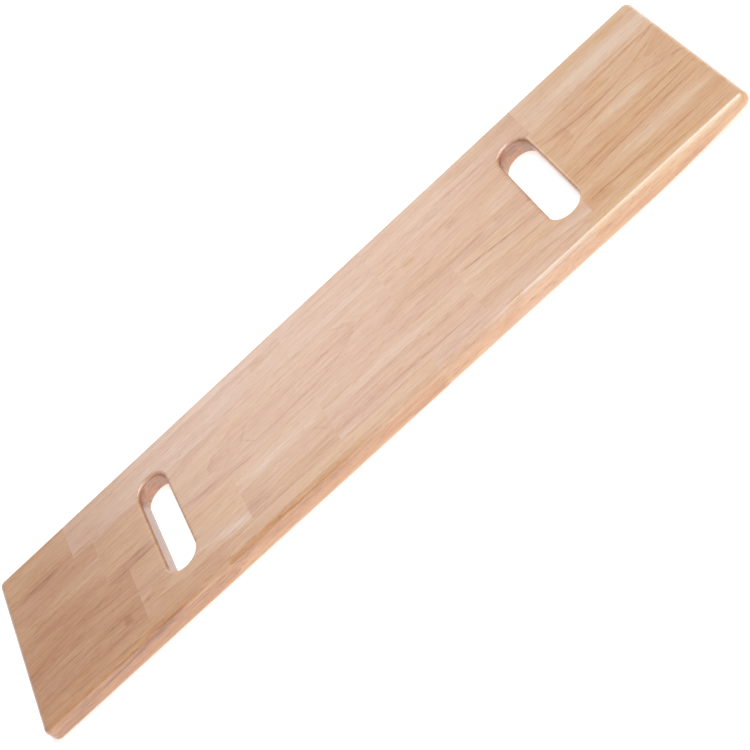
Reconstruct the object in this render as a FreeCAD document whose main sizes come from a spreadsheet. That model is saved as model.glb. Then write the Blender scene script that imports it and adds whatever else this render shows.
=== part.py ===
import FreeCAD, Part
import Sketcher
import math
import os
import re

# A wooden transfer board: rows of finger-jointed staves glued edge to edge, with a hand hole
# near each end, rounded edges, and an underside that curves up towards the right end only.
#
# Frame: +X along the board, +Y across it towards the back row, +Z up. The origin is on the
# surface that the board lies on, under its middle. Lengths are in millimetres.

SHEET = "Dimensions"
FINGERS = 5     # fingers through the thickness of every end joint
NEAR = 0.01     # how close a point has to be to count as lying on a face

# Driving dimensions: alias, value, meaning.
DRIVING = [
    ("board_length", 760, "end to end"),
    ("board_width", 203, "front edge to back edge"),
    ("board_thick", 19, "top face to underside"),
    ("corner_radius", 7, "corners, seen from above"),
    ("top_round", 6, "rounding of the top edges"),
    ("under_round", 5, "rounding of the underside's edges"),
    ("ramp_length", 120, "stretch of the underside that curves up at the right end"),
    ("ramp_rise", 7.3, "height of the underside at the very right end"),
    ("hole_spacing", 425, "centre to centre of the hand holes, along the board"),
    ("hole_shift", 8, "how far right of the board's middle the pair of holes sits"),
    ("hole_length", 126, "hand hole across the board, wall to wall"),
    ("hole_width", 31, "hand hole along the board, wall to wall"),
    ("rim_round", 3, "rounding of the hand holes' rims"),
    ("front_row_width", 19.5, "the front row, cut down from a full one"),
    ("full_row_width", 66, "each of the two middle rows"),
    ("finger_length", 6, "length of the fingers, along the grain"),
    ("spare", 2, "how far a cutting shape reaches past the board"),
]

# Sizes that follow from them: alias, formula, meaning.
DERIVED = [
    ("left_hole_place", "hole_shift - hole_spacing / 2", "middle of the left hand hole"),
    ("right_hole_place", "hole_shift + hole_spacing / 2", "middle of the right hand hole"),
    ("front_glue_line", "front_row_width - board_width / 2", "behind the front row"),
    ("middle_glue_line", "front_glue_line + full_row_width", "between the middle rows"),
    ("back_glue_line", "middle_glue_line + full_row_width", "in front of the back row"),
    ("back_row_width", "board_width / 2 - back_glue_line", "what the other rows leave"),
    ("ramp_radius", "(ramp_length ^ 2 + ramp_rise ^ 2) / (2 * ramp_rise)", "underside curve"),
    ("finger_pitch", "board_thick / %d" % FINGERS, "tip to tip of the fingers"),
]

# The rows of staves: name, front side, width, and the end joints from left to right. A joint
# that falls inside a hand hole has no wood left. At -209 it parts the two remains of a stave
# that the left hole cuts through, and at 224 both staves end at the right hole's walls.
ROWS = [
    ("back", "back_glue_line", "back_row_width", [-302, -41, 61, 239]),
    ("mid_back", "middle_glue_line", "full_row_width", [-279, -209, 62, 224]),
    ("mid_front", "front_glue_line", "full_row_width", [-256, -137, -40, 116, 230]),
    ("front", "-board_width / 2", "front_row_width", [-168, 58, 223]),
]

HOLE_PLACES = ("left_hole_place", "right_hole_place")


def joint_alias(row, number):
    return "%s_joint_%d" % (row, number)


def make_sheet(doc):
    """The spreadsheet that every size in the document is bound to."""
    sheet = doc.addObject("Spreadsheet::Sheet", SHEET)
    cells = [(alias, str(value), meaning) for alias, value, meaning in DRIVING]
    for row, _, _, joints in ROWS:
        for number, place in enumerate(joints, 1):
            cells.append((joint_alias(row, number), str(place), "end joint, from the middle"))
    cells += [(alias, "=" + formula, meaning) for alias, formula, meaning in DERIVED]
    for line, (alias, content, meaning) in enumerate(cells, 1):
        sheet.set("A%d" % line, alias)
        sheet.set("B%d" % line, content)
        sheet.set("C%d" % line, meaning)
        sheet.setAlias("B%d" % line, alias)
    doc.recompute()
    return sheet


def from_sheet(formula):
    """A formula of aliases, as an object outside the sheet writes it. A word with a bracket
    after it, such as sqrt, is a function and stays as it is."""
    return re.sub(r"\b([a-z]\w*)\b(?!\()", SHEET + r".\1", formula)


def bind(thing, name, formula):
    thing.setExpression(name, from_sheet(formula))


def value(thing, formula):
    """What a formula of aliases comes to now, in millimetres."""
    return float(thing.evalExpression(from_sheet(formula)))


def new_sketch(body, name, role):
    """A sketch on one of its own body's origin planes."""
    sketch = body.newObject("Sketcher::SketchObject", name)
    plane = [f for f in body.Origin.OriginFeatures if f.Role == role][0]
    sketch.AttachmentSupport = [(plane, "")]
    sketch.MapMode = "FlatFace"
    return sketch


def bound_constraint(sketch, kind, place, formula):
    """A size constraint whose value is bound to the sheet."""
    index = sketch.addConstraint(Sketcher.Constraint(kind, *place, value(sketch, formula)))
    bind(sketch, "Constraints[%d]" % index, formula)


def pin(sketch, edge, end, x, y):
    """Fixes one point of an edge by two formulas, measured from the sketch's origin."""
    bound_constraint(sketch, "DistanceX", (-1, 1, edge, end), x)
    bound_constraint(sketch, "DistanceY", (-1, 1, edge, end), y)


def corner(sketch, x, y):
    return FreeCAD.Vector(value(sketch, x), value(sketch, y), 0)


def add_lines(sketch, corners, closed=True):
    """Straight edges from corner to corner, each corner being a pair of formulas."""
    first = sketch.GeometryCount
    ends = corners[1:] + (corners[:1] if closed else [])
    for start, end in zip(corners, ends):
        sketch.addGeometry(Part.LineSegment(corner(sketch, *start), corner(sketch, *end)))
    last = sketch.GeometryCount - 1
    for edge in range(first, last):
        sketch.addConstraint(Sketcher.Constraint("Coincident", edge, 2, edge + 1, 1))
    if closed:
        sketch.addConstraint(Sketcher.Constraint("Coincident", last, 2, first, 1))
    for edge, place in zip(range(first, last + 1), corners):
        pin(sketch, edge, 1, *place)
    if not closed:
        pin(sketch, last, 2, *corners[-1])
    return first, last


def add_ramp(sketch):
    """The wedge under the right end of the board. Its arc leaves the flat underside without a
    corner and rises towards the end."""
    start = "(board_length / 2 - ramp_length)"
    beyond = "(board_length / 2 + spare)"
    top = "ramp_radius - sqrt(ramp_radius ^ 2 - (ramp_length + spare) ^ 2)"
    outline = [(start, "0"), (start, "-spare"), (beyond, "-spare"), (beyond, top)]
    first, last = add_lines(sketch, outline, closed=False)
    centre = corner(sketch, start, "ramp_radius")
    circle = Part.Circle(centre, FreeCAD.Vector(0, 0, 1), centre.y)
    low = -math.pi / 2
    reach = math.asin(value(sketch, "(ramp_length + spare) / ramp_radius"))
    arc = sketch.addGeometry(Part.ArcOfCircle(circle, low, low + reach))
    sketch.addConstraint(Sketcher.Constraint("Coincident", arc, 1, first, 1))
    sketch.addConstraint(Sketcher.Constraint("Coincident", arc, 2, last, 2))
    bound_constraint(sketch, "Radius", (arc,), "ramp_radius")


def add_hand_hole(sketch, x):
    """A hole with straight sides and half-round ends, lying across the board."""
    y = "(hole_length - hole_width) / 2"
    radius = value(sketch, "hole_width / 2")
    up = FreeCAD.Vector(0, 0, 1)
    centres = [corner(sketch, x, y), corner(sketch, x, "-" + y)]
    first = sketch.GeometryCount
    for number, centre in enumerate(centres):
        begin = number * math.pi
        circle = Part.Circle(centre, up, radius)
        sketch.addGeometry(Part.ArcOfCircle(circle, begin, begin + math.pi))
    for turn, start, end in ((-1, centres[0], centres[1]), (1, centres[1], centres[0])):
        wall = FreeCAD.Vector(turn * radius, 0, 0)
        sketch.addGeometry(Part.LineSegment(start + wall, end + wall))
    back_arc, front_arc, left_wall, right_wall = range(first, first + 4)
    for before, after in ((back_arc, left_wall), (left_wall, front_arc),
                          (front_arc, right_wall), (right_wall, back_arc)):
        sketch.addConstraint(Sketcher.Constraint("Tangent", before, 2, after, 1))
    sketch.addConstraint(Sketcher.Constraint("Equal", back_arc, front_arc))
    bound_constraint(sketch, "Radius", (back_arc,), "hole_width / 2")
    pin(sketch, back_arc, 3, x, y)
    bound_constraint(sketch, "DistanceY", (-1, 1, front_arc, 3), "-" + y)


def cut(body, sketch):
    """Pockets a sketch right through the body, to both sides of its plane."""
    before = body.Tip.Shape.Volume
    pocket = body.newObject("PartDesign::Pocket", "Cut_" + sketch.Name)
    pocket.Profile = sketch
    pocket.Type = "ThroughAll"
    pocket.SideType = "Symmetric"
    body.Document.recompute()
    if pocket.Shape.Volume >= before:
        raise RuntimeError(sketch.Name + " cuts nothing")


def round_over(body, name, radius, chosen):
    """Fillets the tip's edges whose middle point satisfies a test."""
    tip = body.Tip
    edges = []
    for number, edge in enumerate(tip.Shape.Edges, 1):
        middle = edge.valueAt((edge.FirstParameter + edge.LastParameter) / 2)
        if chosen(middle):
            edges.append("Edge%d" % number)
    fillet = body.newObject("PartDesign::Fillet", name)
    fillet.Base = (tip, edges)
    bind(fillet, "Radius", radius)
    body.Document.recompute()


def make_board_form(doc):
    """The finished outer shape of the whole board, before it is divided into its staves."""
    body = doc.addObject("PartDesign::Body", "Board_form")
    outline = new_sketch(body, "Outline", "XY_Plane")
    x = "board_length / 2"
    y = "board_width / 2"
    add_lines(outline, [("-" + x, "-" + y), (x, "-" + y), (x, y), ("-" + x, y)])
    pad = body.newObject("PartDesign::Pad", "Thickness")
    pad.Profile = outline
    bind(pad, "Length", "board_thick")
    doc.recompute()

    half_length = value(pad, "board_length / 2")
    half_width = value(pad, "board_width / 2")
    thick = value(pad, "board_thick")
    rise = value(pad, "ramp_rise")
    half_hole = value(pad, "hole_width / 2")
    middles = [value(pad, place) for place in HOLE_PLACES]
    edge_zone = value(pad, "corner_radius / 2")
    round_over(body, "Corners", "corner_radius", lambda p: NEAR < p.z < thick - NEAR)

    ramp = new_sketch(body, "Ramp", "XZ_Plane")
    add_ramp(ramp)
    holes = new_sketch(body, "Hand_holes", "XY_Plane")
    for place in HOLE_PLACES:
        add_hand_hole(holes, place)
    cut(body, ramp)
    cut(body, holes)

    def on_edge_of_board(p):
        return abs(p.x) > half_length - edge_zone or abs(p.y) > half_width - edge_zone

    def on_hole_rim(p):
        at_face = p.z < NEAR or p.z > thick - NEAR
        return at_face and any(abs(p.x - middle) < half_hole + NEAR for middle in middles)

    round_over(body, "Top_edges", "top_round",
               lambda p: on_edge_of_board(p) and p.z > thick - NEAR)
    round_over(body, "Under_edges", "under_round",
               lambda p: on_edge_of_board(p) and p.z < rise + NEAR)
    round_over(body, "Hole_rims", "rim_round", on_hole_rim)
    return body


def make_finger_profile(doc):
    """Everything to the left of an end joint, seen from the front: its right side is the
    zigzag of the fingers, about the local X of zero."""
    sketch = doc.addObject("Sketcher::SketchObject", "Finger_profile")
    upright = FreeCAD.Rotation(FreeCAD.Vector(1, 0, 0), 90)
    sketch.Placement = FreeCAD.Placement(FreeCAD.Vector(), upright)
    tip = "finger_length / 2"
    corners = [("-board_length", "-spare"), (tip, "-spare")]
    for step in range(2 * FINGERS + 1):
        side = "-" + tip if step % 2 else tip
        corners.append((side, "%d * finger_pitch / 2" % step))
    corners += [(tip, "board_thick + spare"), ("-board_length", "board_thick + spare")]
    add_lines(sketch, corners)
    return sketch


def left_of_joint(doc, profile, row, number, front, width):
    """The part of a row to the left of one of its end joints."""
    extrusion = doc.addObject("Part::Extrusion", "Left_of_%s_%d" % (row, number))
    extrusion.Base = profile
    extrusion.DirMode = "Custom"
    extrusion.Dir = FreeCAD.Vector(0, 1, 0)
    extrusion.Solid = True
    bind(extrusion, "LengthFwd", width)
    bind(extrusion, "Placement.Base.x", joint_alias(row, number))
    bind(extrusion, "Placement.Base.y", front)
    return extrusion


def whole_row(doc, row, front, width):
    box = doc.addObject("Part::Box", "Whole_%s_row" % row)
    bind(box, "Length", "board_length + 2 * spare")
    bind(box, "Width", width)
    bind(box, "Height", "board_thick + 2 * spare")
    bind(box, "Placement.Base.x", "-board_length / 2 - spare")
    bind(box, "Placement.Base.y", front)
    bind(box, "Placement.Base.z", "-spare")
    return box


def make_row(doc, form, profile, row, front, width, joints):
    """The staves of one row, from left to right, each shaped by the board's form."""
    pieces = [left_of_joint(doc, profile, row, number, front, width)
              for number in range(1, len(joints) + 1)]
    pieces.append(whole_row(doc, row, front, width))
    staves = []
    for number, piece in enumerate(pieces, 1):
        name = "%s_row_stave_%d" % (row, number)
        blank = piece
        if number > 1:
            blank = doc.addObject("Part::Cut", name + "_blank")
            blank.Base = piece
            blank.Tool = pieces[number - 2]
        stave = doc.addObject("Part::Common", name)
        stave.Base = blank
        stave.Tool = form
        stave.Label = name
        staves.append(stave)
    return staves


def check(doc, staves):
    """Stops the build when anything in the document failed or a stave isn't one good solid."""
    for thing in doc.Objects:
        if "Invalid" in thing.State or "Error" in thing.State:
            raise RuntimeError(thing.Label + " failed")
    for stave in staves:
        shape = stave.Shape
        if shape.isNull() or not shape.isValid() or len(shape.Solids) != 1:
            raise RuntimeError("%s isn't one valid solid" % stave.Label)


def main():
    doc = FreeCAD.newDocument("transfer_board")
    make_sheet(doc)
    form = make_board_form(doc)
    profile = make_finger_profile(doc)
    staves = []
    for row, front, width, joints in ROWS:
        staves += make_row(doc, form, profile, row, front, width, joints)
    doc.recompute()
    check(doc, staves)
    os.makedirs("parts", exist_ok=True)
    for stave in staves:
        stave.Shape.exportStep("parts/%s.step" % stave.Label)
        box = stave.Shape.BoundBox
        print("%-24s %6.1f to %6.1f  %6.1f to %6.1f  %9.0f mm3" % (
            stave.Label, box.XMin, box.XMax, box.YMin, box.YMax, stave.Shape.Volume))
    total = sum(stave.Shape.Volume for stave in staves)
    print("staves %.0f mm3, board form %.0f mm3" % (total, form.Shape.Volume))


main()
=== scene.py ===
from math import pi, radians

import bpy
from mathutils import Matrix, Vector


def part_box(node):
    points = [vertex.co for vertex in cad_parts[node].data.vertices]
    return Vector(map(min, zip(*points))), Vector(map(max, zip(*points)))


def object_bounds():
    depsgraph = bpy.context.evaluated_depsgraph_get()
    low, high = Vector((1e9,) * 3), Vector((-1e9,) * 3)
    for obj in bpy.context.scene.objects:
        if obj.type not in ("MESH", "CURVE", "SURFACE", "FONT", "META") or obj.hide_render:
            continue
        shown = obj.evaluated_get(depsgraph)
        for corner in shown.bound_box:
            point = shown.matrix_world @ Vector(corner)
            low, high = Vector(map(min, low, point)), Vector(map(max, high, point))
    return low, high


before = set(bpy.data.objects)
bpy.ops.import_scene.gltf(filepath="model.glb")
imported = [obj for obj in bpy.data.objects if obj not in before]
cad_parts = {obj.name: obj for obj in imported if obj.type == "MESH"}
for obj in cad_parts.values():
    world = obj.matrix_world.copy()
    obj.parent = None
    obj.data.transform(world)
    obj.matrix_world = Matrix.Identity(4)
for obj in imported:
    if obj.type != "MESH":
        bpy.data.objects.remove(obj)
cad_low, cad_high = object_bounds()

MM = 0.001

# ---------------------------------------------------------------------------
# The board's own places, read from the frame
# ---------------------------------------------------------------------------
ROW_NAMES = ("back_row", "mid_back_row", "mid_front_row", "front_row")
BOARD_TOP = cad_high.z


def staves_of(row):
    """The nodes of one row, from left to right."""
    names = [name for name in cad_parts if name.startswith(row + "_stave_")]
    return sorted(names, key=lambda name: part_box(name)[0].x)


# The glue lines between the rows run the whole length of the board.
ROW_GLUE_LINES = [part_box(staves_of(row)[0])[0].y for row in ROW_NAMES[:-1]]

# ---------------------------------------------------------------------------
# The look of the wood
# ---------------------------------------------------------------------------
# The wood's colours, from the palest to the darkest.
WOOD_TONES = (
    (0.00, (0.74, 0.56, 0.41)),
    (0.35, (0.64, 0.39, 0.235)),
    (0.65, (0.51, 0.235, 0.115)),
    (1.00, (0.27, 0.095, 0.035)),
)
PINK_TINT = (1.00, 0.96, 1.06)
ORANGE_TINT = (1.04, 0.97, 0.74)

LACQUER_COAT = 1.0
LACQUER_COAT_ROUGHNESS = 0.28
LACQUER_COAT_IOR = 1.9
WOOD_IOR = 1.5
WOOD_ROUGHNESS = 0.46

# Layers of the wood's figure, drawn out along the grain: how long and wide their spots are, in mm,
# and how strongly they darken or pale the wood.
BLOTCH_SIZE = (120, 16)
BLOTCH_STRENGTH = 0.34
BUSY_SIZE = (60, 8)
FIBRE_SIZE = (38, 2.4)
FIBRE_STRENGTH = 0.44
THREAD_SIZE = (11, 0.9)
THREAD_STRENGTH = 0.44
VESSEL_SIZE = (7.0, 0.50)
VESSEL_STRENGTH = 0.26
WARMTH_DRIFT_SIZE = (70, 12)
WARMTH_DRIFT_STRENGTH = 0.9
RING_LINE_STRENGTH = 0.30
RING_BAND_STRENGTH = 0.10
RUB_SIZE = (30, 8)
RUB_STRENGTH = -0.05
END_TONE = 0.14
# how much more orange the painted shade makes the upright and rounded faces
SIDE_SHADE_WARMTH = 0.3
GLUE_TONE = 0.12
GLUE_HALF_WIDTH = 0.35 * MM
GLUE_CORE = 0.1 * MM
BUMP_STRENGTH = 0.35
BUMP_DEPTH = 0.15 * MM

# Painted shade, deeper on the cut walls of the hand holes, where shade falls in the recess, than on the
# board's rounded outer edges. The holes stay within HOLE_REACH of the middle line; from there to
# EDGE_START one fades to the other.
HOLE_WALL_SHADE = 0.34
OUTER_EDGE_SHADE = 0.18
HOLE_REACH = 70 * MM
EDGE_START = 85 * MM

# Each stave was sawn from its own log. "pith" is where the middle of that log lies from the
# middle of the stave, across the board and down, in mm; "slope" is how much the grain runs
# across the board per length; "bow" is how far the pith is bent up or down at the stave's
# ends, in mm, which closes the rings into ovals or opens them into an hourglass. "ring" is how
# wide a growth ring is, in mm. "tone" runs from pale (0) to dark (1) and "warmth" from pinkish (0)
# to orange (1).


def look(tone, warmth, pith, ring, seed, slope=0.0, bow=0):
    return dict(tone=tone, warmth=warmth, pith=pith, ring=ring, seed=seed, slope=slope, bow=bow)


STAVES = {
    "back_row_stave_1": look(0.44, 0.60, pith=(60, -45), ring=7, seed=1),
    "back_row_stave_2": look(0.31, 0.08, pith=(-70, -30), ring=9, seed=2),
    "back_row_stave_3": look(0.32, 0.12, pith=(55, -60), ring=8, seed=3),
    "back_row_stave_4": look(0.34, 0.25, pith=(-50, -25), ring=6, seed=4, slope=0.01),
    "back_row_stave_5": look(0.15, 0.40, pith=(45, -40), ring=7, seed=5, slope=0.02),
    "mid_back_row_stave_1": look(0.49, 0.60, pith=(0, -75), ring=9, seed=6, bow=3),
    "mid_back_row_stave_2": look(0.46, 0.60, pith=(-50, -35), ring=8, seed=7),
    "mid_back_row_stave_3": look(0.39, 0.30, pith=(0, -48), ring=6, seed=8, slope=0.06, bow=-9),
    "mid_back_row_stave_4": look(0.38, 0.35, pith=(-35, -35), ring=6, seed=9, slope=0.04, bow=2),
    "mid_back_row_stave_5": look(0.34, 0.60, pith=(-2, -40), ring=7, seed=10, bow=7),
    "mid_front_row_stave_1": look(0.58, 0.60, pith=(40, -40), ring=8, seed=11, slope=0.02, bow=3),
    "mid_front_row_stave_2": look(0.40, 0.50, pith=(30, -40), ring=8, seed=12, slope=-0.04),
    "mid_front_row_stave_3": look(0.41, 0.35, pith=(-60, -30), ring=8, seed=13),
    "mid_front_row_stave_4": look(0.34, 0.25, pith=(60, -30), ring=7, seed=14, slope=-0.04),
    "mid_front_row_stave_5": look(0.32, 0.35, pith=(-60, -30), ring=7, seed=15, slope=-0.10),
    "mid_front_row_stave_6": look(0.35, 0.70, pith=(50, -35), ring=8, seed=16, slope=0.03, bow=2),
    "front_row_stave_1": look(0.52, 0.65, pith=(-50, -30), ring=8, seed=17, slope=-0.06),
    "front_row_stave_2": look(0.38, 0.50, pith=(40, -50), ring=9, seed=18),
    "front_row_stave_3": look(0.28, 0.25, pith=(-45, -50), ring=9, seed=19),
    "front_row_stave_4": look(0.36, 0.65, pith=(50, -45), ring=8, seed=20),
}

# The deepest and palest lines of each stave's figure, as its sawn top shows them. "x" and "y" run
# from the middle of the stave, and all lengths are in mm. A mark leans by "slope" and curves by
# "bend" at its ends. "tone" darkens the wood (or pales it) and "warmth" makes it more orange.


def mark(x, y, length, width, tone, warmth=0.0, slope=0.0, bend=0.0):
    return dict(x=x, y=y, length=length, width=width, tone=tone, warmth=warmth, slope=slope, bend=bend)


MARKS = {
    "back_row_stave_1": [
        mark(0, -21, 45, 5, 0.22, -0.1),
        mark(4, -20, 18, 1.2, 0.20),
        mark(6, -9, 20, 1, 0.12),
    ],
    "back_row_stave_2": [
        mark(-116, -23, 12, 1.2, 0.20),
        mark(-114, -25, 18, 4, 0.10, -0.1),
        mark(40, 7, 80, 4, 0.10),
        mark(0, -8, 90, 8, -0.08, -0.15),
        mark(105, 2, 8, 5, 0.12, 0.35),
        mark(119, 1, 10, 1, 0.15),
        mark(113, -6, 8, 3, -0.10),
    ],
    "back_row_stave_3": [
        mark(15, -6, 40, 1, 0.10),
        mark(20, -17, 35, 1, 0.10),
    ],
    "back_row_stave_4": [
        mark(15, -6, 38, 1.4, 0.24),
        mark(-45, -6, 32, 1, 0.12),
        mark(25, 4, 35, 1.2, 0.14),
        mark(15, -15, 45, 1.2, 0.14, slope=0.05),
        mark(-5, -23, 40, 2.5, -0.15),
    ],
    "back_row_stave_5": [
        mark(0, -22, 72, 1.4, 0.26, slope=0.01),
        mark(20, 9, 55, 1.5, 0.20, 0.3, slope=0.03),
        mark(25, -8, 55, 8, -0.20, -0.15),
        mark(20, 14, 45, 3, 0.10, 0.3),
    ],
    "mid_back_row_stave_1": [
        mark(14, -2, 30, 2, -0.12, slope=-0.08),
        mark(0, -19, 50, 9, 0.10),
        mark(21, -32, 8, 1.5, 0.16),
        mark(-21, 11, 18, 8, 0.06),
    ],
    "mid_back_row_stave_2": [
        mark(0, -11.5, 27, 1, 0.20, slope=-0.02),
        mark(2, -26, 30, 7, 0.25, -0.15),
        mark(0, -32, 28, 1.2, 0.15),
        mark(14, -26, 10, 4, 0.08, -0.1),
    ],
    "mid_back_row_stave_3": [
        mark(-86, 28, 40, 6, 0.10),
        mark(-86, -26, 40, 5.5, 0.26, -0.15, slope=-0.09),
        mark(-86, -32, 40, 1.2, 0.20),
        mark(-44, 1, 6, 1.3, 0.24, slope=1.14, bend=-1.2),
        mark(-43.5, -14, 6.5, 1.3, 0.24, slope=-1.12, bend=0.8),
        mark(20, 2, 50, 1.3, 0.20, slope=0.03),
        mark(23, -12, 50, 1.1, 0.11),
        mark(0, -21, 38, 1.1, 0.13),
        mark(3, -31, 18, 1, 0.11),
        mark(72.5, 19, 8, 1.4, 0.20, slope=-0.75),
        mark(79, 28, 5, 2, 0.12, 0.2),
        mark(92, 13, 10, 1.2, 0.12, slope=-0.9),
        mark(96, -1, 30, 1.2, 0.13, slope=0.05),
    ],
    "mid_back_row_stave_4": [
        mark(-62, 18, 7, 2, 0.18, slope=-0.1),
        mark(-52, 26, 4, 2.5, 0.12, 0.2),
        mark(-39, 19, 6, 7, 0.15, 0.4),
        mark(10, 18, 7, 6, 0.14, -0.1),
        mark(0, 24, 10, 1.2, 0.12, slope=0.05),
        mark(10, 6, 25, 1.1, 0.11, slope=0.05),
        mark(-35, -1, 22, 1.1, 0.11),
        mark(0, -22, 42, 1.1, 0.19, slope=0.03),
        mark(-8, -28, 35, 1.1, 0.16),
        mark(-50, -17, 30, 1.1, 0.16),
        mark(10, -18, 28, 1.2, -0.12, slope=0.02),
        mark(32, -24, 7, 4, -0.25, -0.2),
        mark(58, -7, 22, 18, -0.12, -0.1),
    ],
    "mid_back_row_stave_5": [
        mark(0, 3.5, 72, 1.4, 0.27, slope=0.08, bend=15),
        mark(56, 27, 16, 1.6, 0.22, 0.2, slope=0.32),
        mark(0, -8.5, 72, 1.4, 0.25, slope=0.02, bend=-16),
        mark(6, -19, 24, 7, -0.20, -0.2),
        mark(-10, 29, 70, 1.3, 0.22, slope=0.02),
        mark(-1, 22, 9, 5, 0.12, 0.5),
        mark(-35, 17, 32, 1.1, 0.13, slope=-0.05),
        mark(-43, -31, 25, 1.3, 0.18),
    ],
    "mid_front_row_stave_1": [
        mark(-52, 16, 12, 5, 0.12, 0.3),
        mark(-34, 20, 12, 1, 0.13, slope=0.05),
        mark(38, 16, 27, 1.4, 0.22, slope=-0.13, bend=1),
        mark(43, 19, 7, 3, 0.10, -0.2),
        mark(-29, -5.5, 27, 1.1, 0.20),
        mark(45, -17, 5, 6, 0.22, 0.35),
        mark(45, -26, 18, 1, 0.13, slope=0.1),
        mark(42, -30, 20, 1, 0.13, slope=-0.06),
        mark(40, -9, 30, 9, 0.08),
        mark(38, 14, 30, 14, -0.07),
        mark(-30, -28, 30, 1.2, 0.12),
    ],
    "mid_front_row_stave_2": [
        mark(-52, -8, 10, 4, -0.20, -0.1),
        mark(-29, -25, 16, 1.2, 0.18, slope=-0.15),
        mark(38, -20, 36, 5, -0.22, -0.2, slope=-0.18),
        mark(46, -23, 16, 8, -0.14, -0.2),
        mark(-42, 0, 24, 28, 0.08),
        mark(25, -30, 35, 3, 0.12, 0.1, slope=-0.05),
        mark(24, 22, 10, 1, 0.13),
        mark(46, 4, 12, 1.3, 0.15),
    ],
    "mid_front_row_stave_3": [
        mark(0, 15, 50, 6, -0.25, -0.25),
        mark(-34, -18, 14, 10, 0.12, -0.1),
        mark(32, -17, 18, 1.3, 0.16, slope=0.06),
        mark(35, -24, 16, 1.2, 0.16),
        mark(0, -32, 30, 1, 0.16),
        mark(43, -1, 8, 1.3, 0.12, slope=-1.0),
    ],
    "mid_front_row_stave_4": [
        mark(-62, 14, 18, 1, 0.16),
        mark(-15, -3, 40, 1.1, 0.16, slope=-0.04),
        mark(42, 10, 20, 1.1, 0.15),
        mark(20, -24, 38, 1.4, 0.28, slope=-0.06),
        mark(-28, -32, 50, 1.3, 0.25, slope=-0.02),
        mark(50, -8, 28, 1.1, 0.16, slope=-0.05),
        mark(-52, -19, 22, 1.2, 0.15),
        mark(0, 8, 40, 5, -0.08, -0.15),
    ],
    "mid_front_row_stave_5": [
        mark(-16, 20, 48, 1.5, 0.26, slope=-0.16),
        mark(0, 25, 30, 3, 0.12, 0.3, slope=-0.2),
        mark(-8, 1, 40, 1.1, 0.15, slope=-0.06),
        mark(8, -10, 22, 3.5, 0.14, 0.45),
        mark(10, -15, 58, 1.3, 0.22, slope=-0.06),
        mark(-60, -28, 10, 1.2, 0.16),
        mark(-10, -25, 25, 1, 0.11),
        mark(36, -29, 30, 7, -0.12, -0.15),
    ],
    "mid_front_row_stave_6": [
        mark(-60, -24, 16, 16, 0.12, 0.3),
        mark(0, 20, 72, 1.4, 0.25, slope=0.055),
        mark(0, 10, 72, 1.4, 0.25, slope=0.08, bend=-3),
        mark(25, 32, 48, 1.2, 0.17, slope=0.02),
        mark(0, -24, 72, 1.4, 0.30, slope=-0.015),
        mark(25, -6, 48, 9, -0.16, -0.2),
        mark(-62, 29, 5, 3, 0.15, 0.3),
    ],
    "front_row_stave_1": [
        mark(0, -3, 105, 1.6, 0.22, slope=-0.066),
        mark(-46, 6, 25, 1, 0.15),
        mark(62, -12, 62, 4, 0.20, 0.4),
    ],
    "front_row_stave_2": [
        mark(-45, -10, 85, 5, 0.14, 0.4),
        mark(80, -4, 60, 14, -0.10, -0.1),
    ],
    "front_row_stave_3": [
        mark(5, -3, 7, 4, 0.12, 0.5, slope=-0.3),
        mark(65, -3, 20, 1.5, 0.10, 0.4),
        mark(45, -2, 55, 14, -0.07, -0.1),
    ],
    "front_row_stave_4": [
        mark(0, 3, 75, 3.5, 0.14, 0.35),
    ],
}

# The marks follow the growth rings down through the wood, so they move as the board gets
# deeper: by these much of the depth across the board at most, and along it.
MOST_LEAN = 1.1
DRIFT_ALONG = 2.0


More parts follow.
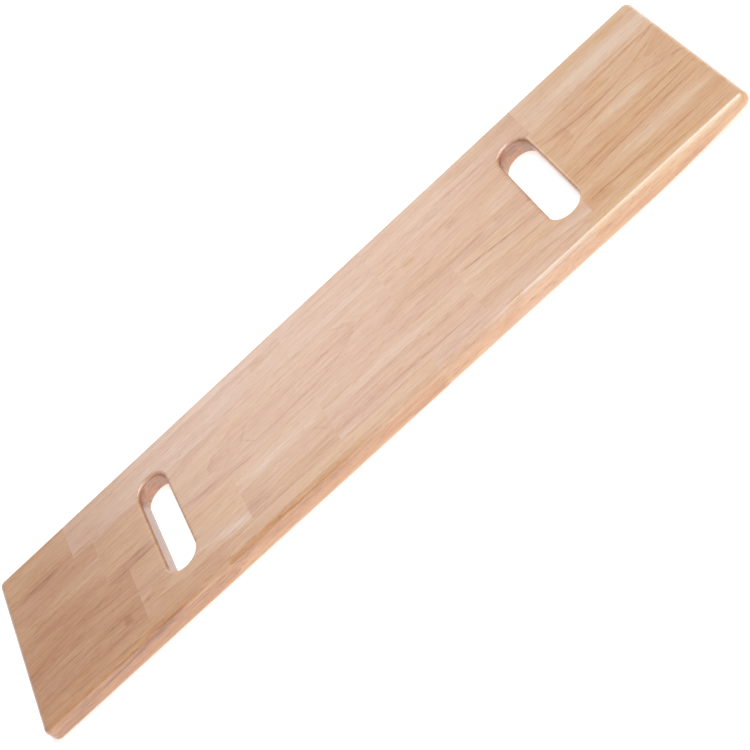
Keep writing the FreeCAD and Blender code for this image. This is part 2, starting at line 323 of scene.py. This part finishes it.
class Graph:
    """Adds shader nodes to one tree, and links each one to what feeds it."""

    def __init__(self, tree):
        self.tree = tree

    def node(self, kind, feeds=None, **settings):
        made = self.tree.nodes.new(kind)
        for name, value in settings.items():
            setattr(made, name, value)
        for name, value in (feeds or {}).items():
            self.feed(made.inputs[name], value)
        return made

    def feed(self, socket, value):
        if isinstance(value, bpy.types.NodeSocket):
            self.tree.links.new(value, socket)
        else:
            socket.default_value = value

    def math(self, operation, first, second=0.0, clamp=False):
        made = self.node("ShaderNodeMath", {0: first, 1: second}, operation=operation)
        made.use_clamp = clamp
        return made.outputs[0]

    def add(self, *values):
        total = values[0]
        for value in values[1:]:
            total = self.math("ADD", total, value)
        return total

    def times(self, first, second):
        return self.math("MULTIPLY", first, second)

    def less(self, first, second):
        return self.math("SUBTRACT", first, second)

    def ramp(self, value, low, high, to_low=0.0, to_high=1.0):
        """Goes smoothly from to_low, where value is low, to to_high, where value is high."""
        feeds = {"Value": value, "From Min": low, "From Max": high, "To Min": to_low, "To Max": to_high}
        return self.node("ShaderNodeMapRange", feeds, interpolation_type="SMOOTHSTEP").outputs["Result"]

    def vector(self, x, y, z):
        return self.node("ShaderNodeCombineXYZ", {"X": x, "Y": y, "Z": z}).outputs[0]

    def split(self, vector):
        made = self.node("ShaderNodeSeparateXYZ", {0: vector})
        return made.outputs["X"], made.outputs["Y"], made.outputs["Z"]

    def noise(self, x, y, z, detail=2.0, roughness=0.5):
        feeds = {"Vector": self.vector(x, y, z), "Scale": 1.0, "Detail": detail, "Roughness": roughness}
        return self.node("ShaderNodeTexNoise", feeds)

    def grain_noise(self, point, seed, size_along, size_across, detail=2.0):
        """Noise whose spots are size_along long and size_across wide, in mm: -0.5 to 0.5."""
        x, y, z = point
        made = self.noise(
            self.add(self.times(x, 1 / (size_along * MM)), seed),
            self.times(y, 1 / (size_across * MM)),
            self.times(z, 1 / (size_across * MM)),
            detail,
        )
        return self.less(made.outputs["Fac"], 0.5)

    def mix(self, factor, first, second, blend="MIX"):
        made = self.node("ShaderNodeMix", data_type="RGBA", blend_type=blend)
        self.feed(made.inputs[0], factor)
        self.feed(made.inputs[6], first)
        self.feed(made.inputs[7], second)
        return made.outputs[2]


def new_group(name, inputs, outputs):
    """A node group with plain number inputs and the given outputs: (graph, inputs, output node)."""
    tree = bpy.data.node_groups.new(name, "ShaderNodeTree")
    for label, kind in inputs.items():
        tree.interface.new_socket(label, in_out="INPUT", socket_type="NodeSocket" + kind)
    for label, kind in outputs.items():
        tree.interface.new_socket(label, in_out="OUTPUT", socket_type="NodeSocket" + kind)
    graph = Graph(tree)
    entry = graph.node("NodeGroupInput")
    return graph, entry.outputs, graph.node("NodeGroupOutput")


def make_wander_group():
    """Bends the wood's coordinates a little, so that no grain line is straight."""
    g, given, out = new_group(
        "grain_wander", {"Point": "Vector", "Seed": "Float", "Amount": "Float"}, {"Point": "Vector"}
    )
    x, y, z = g.split(given["Point"])
    moves = []
    for shift in (0.0, 40.0):
        seed = g.add(given["Seed"], shift)
        broad = g.grain_noise((x, y, z), seed, 90, 30, detail=1.0)
        fine = g.grain_noise((x, y, z), seed, 22, 7, detail=1.0)
        moves.append(g.times(g.add(g.times(broad, 5 * MM), g.times(fine, 0.9 * MM)), given["Amount"]))
    g.feed(out.inputs["Point"], g.vector(x, g.add(y, moves[0]), g.add(z, moves[1])))
    return g.tree


def make_streak_group():
    """A soft streak of darker or paler wood that follows the grain: 1 in its middle, 0 outside."""
    sizes = ("Middle X", "Middle Y", "Half length", "Half width", "Slope", "Bend", "Lean")
    inputs = {"Point": "Vector", **{name: "Float" for name in sizes}}
    g, given, out = new_group("grain_streak", inputs, {"Streak": "Float"})
    x, y, z = g.split(given["Point"])
    depth = g.less(BOARD_TOP, z)
    y = g.less(y, g.times(depth, given["Lean"]))
    along = g.add(g.less(x, given["Middle X"]), g.times(depth, DRIFT_ALONG))
    share = g.math("DIVIDE", along, given["Half length"])
    lean = g.times(along, given["Slope"])
    curve = g.times(g.times(share, share), given["Bend"])
    off = g.less(g.less(g.less(y, given["Middle Y"]), lean), curve)
    across = g.math("DIVIDE", off, given["Half width"])
    fade = g.add(g.math("POWER", g.math("ABSOLUTE", share), 4.0), g.times(across, across))
    g.feed(out.inputs["Streak"], g.math("EXPONENT", g.times(fade, -1.2)))
    return g.tree


def make_wood_group():
    """Sawn rubberwood through and through: rings, vessels and colour bands in the solid wood."""
    numbers = ("Pith Y", "Pith Z", "Middle X", "Half length", "Slope", "Bow", "Ring", "Tone", "Warmth")
    inputs = {"Point": "Vector", "True point": "Vector", **{name: "Float" for name in numbers}}
    inputs["Seed"] = "Float"
    outputs = {"Color": "Color", "Roughness": "Float", "Height": "Float"}
    g, given, out = new_group("rubberwood", inputs, outputs)
    seed = given["Seed"]
    x, y, z = g.split(given["Point"])

    # growth rings round a pith that slopes and bows along the stave
    along = g.less(x, given["Middle X"])
    share = g.math("DIVIDE", along, given["Half length"])
    pith_y = g.add(given["Pith Y"], g.times(along, given["Slope"]))
    pith_z = g.add(given["Pith Z"], g.times(g.times(share, share), given["Bow"]))
    off_y = g.less(y, pith_y)
    off_z = g.less(z, pith_z)
    radius = g.math("SQRT", g.add(g.times(off_y, off_y), g.times(off_z, off_z)))
    turns = g.add(g.math("DIVIDE", radius, given["Ring"]), seed)
    uneven = g.noise(g.times(turns, 0.8), seed, 0.0, 1.0).outputs["Fac"]
    turns = g.add(turns, g.times(uneven, 1.4))
    ring = g.math("FLOOR", turns)
    phase = g.less(turns, ring)
    random = g.node("ShaderNodeTexWhiteNoise", {"W": g.add(ring, seed)}, noise_dimensions="1D")
    ring_kind = random.outputs["Value"]
    line = g.times(g.math("POWER", phase, 7.0), g.ramp(phase, 1.0, 0.96))
    patchy = g.ramp(g.grain_noise((x, y, z), g.add(seed, 11.0), 55, 9), -0.2, 0.25, 0.15, 1.0)
    line = g.times(g.times(line, g.add(g.times(ring_kind, 0.8), 0.25)), patchy)
    band = g.times(g.less(ring_kind, 0.5), RING_BAND_STRENGTH)

    # colour bands, then finer and finer fibres, all drawn out along the grain
    blotch = g.times(g.grain_noise((x, y, z), seed, *BLOTCH_SIZE), BLOTCH_STRENGTH)
    busy = g.ramp(g.grain_noise((x, y, z), g.add(seed, 37.0), *BUSY_SIZE), -0.15, 0.15, 0.35, 1.45)
    fibre = g.grain_noise((x, y, z), g.add(seed, 3.0), *FIBRE_SIZE, detail=3.0)
    fibre = g.times(fibre, FIBRE_STRENGTH)
    thread = g.grain_noise((x, y, z), g.add(seed, 7.0), *THREAD_SIZE)
    thread = g.times(thread, g.times(busy, THREAD_STRENGTH))

    # vessels: short brown dashes on the faces, dots on the sawn ends
    vessel = g.grain_noise((x, y, z), g.add(seed, 17.0), *VESSEL_SIZE, detail=1.0)
    vessel = g.ramp(vessel, 0.13, 0.22)

    # sawn ends drink more lacquer; the upright and rounded faces round the board and in its
    # holes get painted shade, darker and more orange; use has rubbed the roundings in patches
    normal_x, _, normal_z = g.split(g.node("ShaderNodeTexCoord").outputs["Normal"])
    upright = g.math("ABSOLUTE", normal_z)
    end = g.ramp(g.math("ABSOLUTE", normal_x), 0.45, 0.95)
    # painted shade: the upright and rounded faces are darkened as if less lit
    painted_side_shade = g.add(g.ramp(upright, 0.97, 0.55, 0.0, 0.5), g.ramp(upright, 0.60, 0.10, 0.0, 0.7))
    off_middle = g.math("ABSOLUTE", g.split(given["True point"])[1])
    # how strong the painted shade is: more in the hand holes than on the outer edges
    side_shade_strength = g.ramp(off_middle, HOLE_REACH, EDGE_START, HOLE_WALL_SHADE, OUTER_EDGE_SHADE)
    rub = g.times(g.ramp(upright, 0.35, 0.65), g.ramp(upright, 0.98, 0.85))
    rub = g.times(rub, g.ramp(g.grain_noise((x, y, z), g.add(seed, 29.0), *RUB_SIZE), -0.1, 0.15))

    # hairline glue joints between the rows
    on_face = g.ramp(upright, 0.6, 0.9)
    glue = 0.0
    for place in ROW_GLUE_LINES:
        gap = g.math("ABSOLUTE", g.less(g.split(given["True point"])[1], place))
        glue = g.math("MAXIMUM", glue, g.ramp(gap, GLUE_HALF_WIDTH, GLUE_CORE))
    glue = g.times(glue, on_face)

    tone = g.add(
        given["Tone"], band, blotch, fibre, thread,
        g.times(line, RING_LINE_STRENGTH), g.times(vessel, VESSEL_STRENGTH),
        g.times(end, END_TONE), g.times(painted_side_shade, side_shade_strength),
        g.times(rub, RUB_STRENGTH), g.times(glue, GLUE_TONE),
    )
    ramp = g.node("ShaderNodeValToRGB", {"Fac": tone})
    while len(ramp.color_ramp.elements) < len(WOOD_TONES):
        ramp.color_ramp.elements.new(0.5)
    for element, (place, colour) in zip(ramp.color_ramp.elements, WOOD_TONES):
        element.position = place
        element.color = (*colour, 1.0)
    drift = g.grain_noise((x, y, z), g.add(seed, 23.0), *WARMTH_DRIFT_SIZE)
    drift = g.times(drift, WARMTH_DRIFT_STRENGTH)
    warmth = g.math("ADD", given["Warmth"], g.add(drift, g.times(painted_side_shade, SIDE_SHADE_WARMTH)), clamp=True)
    tint = g.mix(warmth, (*PINK_TINT, 1.0), (*ORANGE_TINT, 1.0))
    g.feed(out.inputs["Color"], g.mix(1.0, ramp.outputs["Color"], tint, "MULTIPLY"))

    rough = g.add(
        WOOD_ROUGHNESS, g.times(fibre, 0.4), g.times(vessel, 0.10), g.times(end, 0.08), g.times(rub, -0.08)
    )
    g.feed(out.inputs["Roughness"], rough)
    height = g.add(g.times(fibre, 0.5), g.times(thread, 0.6), g.times(vessel, -0.5), g.times(glue, -0.6))
    g.feed(out.inputs["Height"], height)
    return g.tree


WANDER = make_wander_group()
STREAK = make_streak_group()
WOOD = make_wood_group()


def wood_material(name, stave):
    """The lacquered wood of one stave."""
    material = bpy.data.materials.new(name + "_lacquered_wood")
    material.use_nodes = True
    material.node_tree.nodes.clear()
    g = Graph(material.node_tree)
    low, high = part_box(name)
    middle = (low + high) / 2
    half = (high - low) / 2
    pith_y, pith_z = stave["pith"]

    place = g.node("ShaderNodeTexCoord").outputs["Object"]
    lean = max(-MOST_LEAN, min(MOST_LEAN, -pith_y / pith_z))
    feeds = {"Point": place, "Seed": float(stave["seed"]), "Amount": 1.0}
    point = g.node("ShaderNodeGroup", node_tree=WANDER)
    for label, value in feeds.items():
        g.feed(point.inputs[label], value)
    x, y, z = g.split(point.outputs["Point"])
    veins = g.ramp(g.grain_noise((x, y, z), stave["seed"] + 0.5, 40, 2.0), -0.12, 0.12, 0.45, 1.25)
    tone = 0.0
    warmth = stave["warmth"]
    for line in MARKS[name]:
        feeds = {
            "Point": point.outputs["Point"],
            "Middle X": middle.x + line["x"] * MM,
            "Middle Y": middle.y + line["y"] * MM,
            "Half length": line["length"] * MM,
            "Half width": line["width"] * MM,
            "Slope": line["slope"],
            "Bend": line["bend"] * MM,
            "Lean": lean,
        }
        streak = g.node("ShaderNodeGroup", feeds, node_tree=STREAK).outputs["Streak"]
        tone = g.add(g.times(streak, line["tone"]), tone)
        if line["warmth"]:
            warmth = g.add(g.times(streak, line["warmth"]), warmth)
    tone = g.add(g.times(tone, veins), stave["tone"])
    wood = g.node("ShaderNodeGroup", node_tree=WOOD)
    feeds = {
        "Point": point.outputs["Point"],
        "True point": place,
        "Pith Y": middle.y + pith_y * MM,
        "Pith Z": pith_z * MM,
        "Middle X": middle.x,
        "Half length": half.x,
        "Slope": stave["slope"],
        "Bow": stave["bow"] * MM,
        "Ring": stave["ring"] * MM,
        "Tone": tone,
        "Warmth": warmth,
        "Seed": stave["seed"] * 7.31,
    }
    for label, value in feeds.items():
        g.feed(wood.inputs[label], value)

    bump = g.node("ShaderNodeBump", {"Height": wood.outputs["Height"]})
    bump.inputs["Strength"].default_value = BUMP_STRENGTH
    bump.inputs["Distance"].default_value = BUMP_DEPTH
    shader = g.node("ShaderNodeBsdfPrincipled")
    g.feed(shader.inputs["Base Color"], wood.outputs["Color"])
    g.feed(shader.inputs["Roughness"], wood.outputs["Roughness"])
    g.feed(shader.inputs["Normal"], bump.outputs["Normal"])
    shader.inputs["IOR"].default_value = WOOD_IOR
    shader.inputs["Coat Weight"].default_value = LACQUER_COAT
    shader.inputs["Coat Roughness"].default_value = LACQUER_COAT_ROUGHNESS
    shader.inputs["Coat IOR"].default_value = LACQUER_COAT_IOR
    output = g.node("ShaderNodeOutputMaterial")
    g.feed(output.inputs["Surface"], shader.outputs["BSDF"])
    return material


for name, stave in STAVES.items():
    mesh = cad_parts[name].data
    mesh.materials.clear()
    mesh.materials.append(wood_material(name, stave))

# ---------------------------------------------------------------------------
# Floor, light and camera
# ---------------------------------------------------------------------------
FLOOR_REACH = 20.0
FLOOR_GAP = 0.2 * MM
FLOOR_COLOUR = (0.93, 0.93, 0.93, 1.0)
FLOOR_GLOW = 0.5
FLOOR_ROUGHNESS = 0.9
FLOOR_SHEEN = 0.1

HORIZON_GLOW = 0.85
CEILING_GLOW = 0.34
HORIZON_TOP = 0.05
CEILING_START = 0.35

WHITE_LIGHT = (1.0, 1.0, 1.0)
COOL_LIGHT = (0.86, 0.96, 1.0)
# name, place, target, width, height, radiance, colour
SOFTBOXES = (
    ("overhead", (0.80, 0.1, 2.0), (0.25, 0.0, 0.0), 1.5, 1.4, 4.2, WHITE_LIGHT),
    ("key", (0.60, -1.05, 1.25), (0.20, -0.1, BOARD_TOP), 1.1, 0.8, 2.4, COOL_LIGHT),
    ("front", (-0.25, -2.0, 0.60), (-0.10, -0.1, BOARD_TOP), 1.8, 0.9, 1.4, COOL_LIGHT),
    ("behind", (-0.33, 2.1, 1.35), (-0.05, 0.05, BOARD_TOP), 1.1, 0.7, 1.7, WHITE_LIGHT),
)

CAMERA_AIM = Vector((15.6 * MM, -48.1 * MM, BOARD_TOP))
CAMERA_DISTANCE = 1.4481
CAMERA_AZIMUTH = radians(8.30)
CAMERA_ELEVATION = radians(37.53)
CAMERA_ROLL = radians(-47.675)
CAMERA_SENSOR = 36.0
CAMERA_LENS = 85.48


def make_floor():
    mesh = bpy.data.meshes.new("floor")
    corners = [(-1, -1), (1, -1), (1, 1), (-1, 1)]
    points = [(x * FLOOR_REACH, y * FLOOR_REACH, cad_low.z - FLOOR_GAP) for x, y in corners]
    mesh.from_pydata(points, [], [(0, 1, 2, 3)])
    floor = bpy.data.objects.new("floor", mesh)
    bpy.context.scene.collection.objects.link(floor)
    material = bpy.data.materials.new("pale_floor")
    material.use_nodes = True
    shader = material.node_tree.nodes["Principled BSDF"]
    shader.inputs["Base Color"].default_value = FLOOR_COLOUR
    shader.inputs["Roughness"].default_value = FLOOR_ROUGHNESS
    shader.inputs["Specular IOR Level"].default_value = FLOOR_SHEEN
    shader.inputs["Emission Color"].default_value = (1.0, 1.0, 1.0, 1.0)
    shader.inputs["Emission Strength"].default_value = FLOOR_GLOW
    mesh.materials.append(material)


def make_softbox(name, place, target, width, height, radiance, colour):
    """A rectangular light that faces target; radiance is how bright its face looks."""
    lamp = bpy.data.lights.new(name, "AREA")
    lamp.shape = "RECTANGLE"
    lamp.size = width
    lamp.size_y = height
    lamp.energy = radiance * pi * width * height
    lamp.color = colour
    box = bpy.data.objects.new(name, lamp)
    bpy.context.scene.collection.objects.link(box)
    box.location = place
    box.rotation_mode = "QUATERNION"
    box.rotation_quaternion = (Vector(target) - Vector(place)).to_track_quat("-Z", "Y")
    box.visible_camera = False


def make_world():
    """A plain white studio that is brighter round the horizon than overhead."""
    world = bpy.data.worlds.new("studio")
    world.use_nodes = True
    background = world.node_tree.nodes["Background"]
    background.inputs["Color"].default_value = (1.0, 1.0, 1.0, 1.0)
    g = Graph(world.node_tree)
    _, _, height = g.split(g.node("ShaderNodeTexCoord").outputs["Generated"])
    glow = g.ramp(height, HORIZON_TOP, CEILING_START, HORIZON_GLOW, CEILING_GLOW)
    g.feed(background.inputs["Strength"], glow)
    bpy.context.scene.world = world


def make_camera():
    """The camera looks down on the board from its long front edge, and is rolled."""
    turn = Matrix.Rotation(CAMERA_AZIMUTH, 4, "Z")
    turn = turn @ Matrix.Rotation(radians(90) - CAMERA_ELEVATION, 4, "X")
    turn = turn @ Matrix.Rotation(CAMERA_ROLL, 4, "Z")
    camera = bpy.data.objects.new("camera", bpy.data.cameras.new("camera"))
    camera.data.sensor_width = CAMERA_SENSOR
    camera.data.lens = CAMERA_LENS
    bpy.context.scene.collection.objects.link(camera)
    back_off = Matrix.Translation((0, 0, CAMERA_DISTANCE))
    camera.matrix_world = Matrix.Translation(CAMERA_AIM) @ turn @ back_off
    bpy.context.scene.camera = camera


make_floor()
make_world()
for softbox in SOFTBOXES:
    make_softbox(*softbox)
make_camera()
bpy.context.scene.view_settings.view_transform = "Standard"
